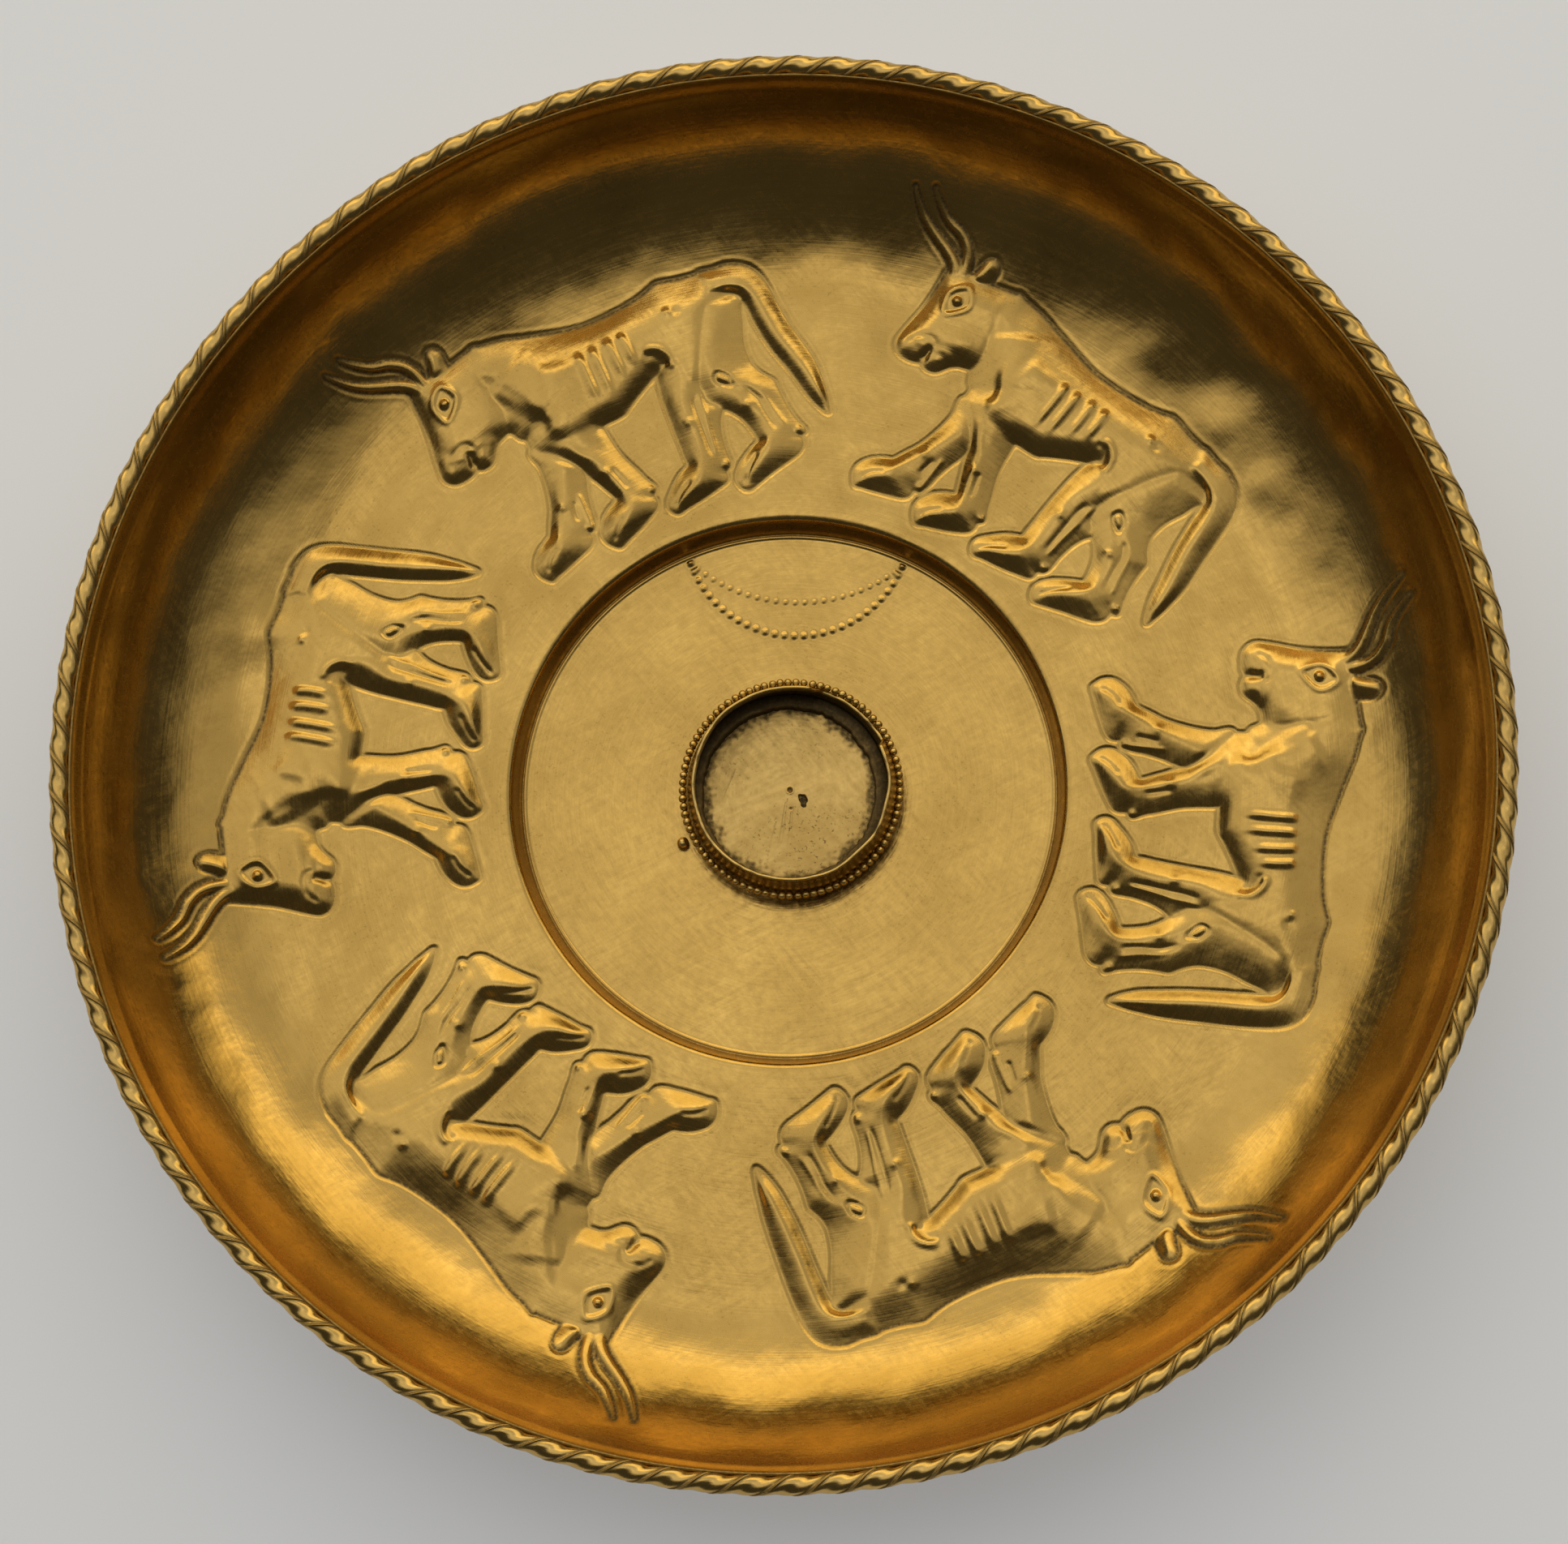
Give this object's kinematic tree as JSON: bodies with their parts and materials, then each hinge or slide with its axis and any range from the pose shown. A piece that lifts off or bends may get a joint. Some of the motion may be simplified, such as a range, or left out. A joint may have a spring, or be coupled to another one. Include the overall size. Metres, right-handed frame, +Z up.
{
  "type": "libation bowl",
  "caption": "Shallow gold libation bowl with bulls in relief round the frieze, a dotted crescent, a twisted border on the lip and an empty collared setting edged with granules.",
  "frame": {"origin": "middle of the flat underside that the bowl stands on", "axes": "+Z up out of the bowl, +Y from the middle towards the dotted crescent, +X to the right with the crescent at the top"},
  "size_m": [0.1458, 0.1458, 0.0199],
  "materials": {
    "dish_gold": "worn hammered gold, brushed and mottled",
    "border_gold": "worn bright gold with dirt in the seams",
    "setting_gold": "worn gold, bright along the edge",
    "ledge_gold": "dark tarnished gold with dirt",
    "plate_gold": "pale matte gold, scratched",
    "granule_gold": "worn gold with dirt between the grains"
  },
  "bodies": {
    "root": {"dish": "dish_gold", "rim_strand_a": "border_gold", "rim_strand_b": "border_gold", "bezel_collar": "setting_gold", "bearing_ring": "ledge_gold", "setting_floor": "plate_gold", "granule_row_lower": "granule_gold", "granule_row_upper": "granule_gold", "lone_granule": "granule_gold"}
  },
  "joints": []
}
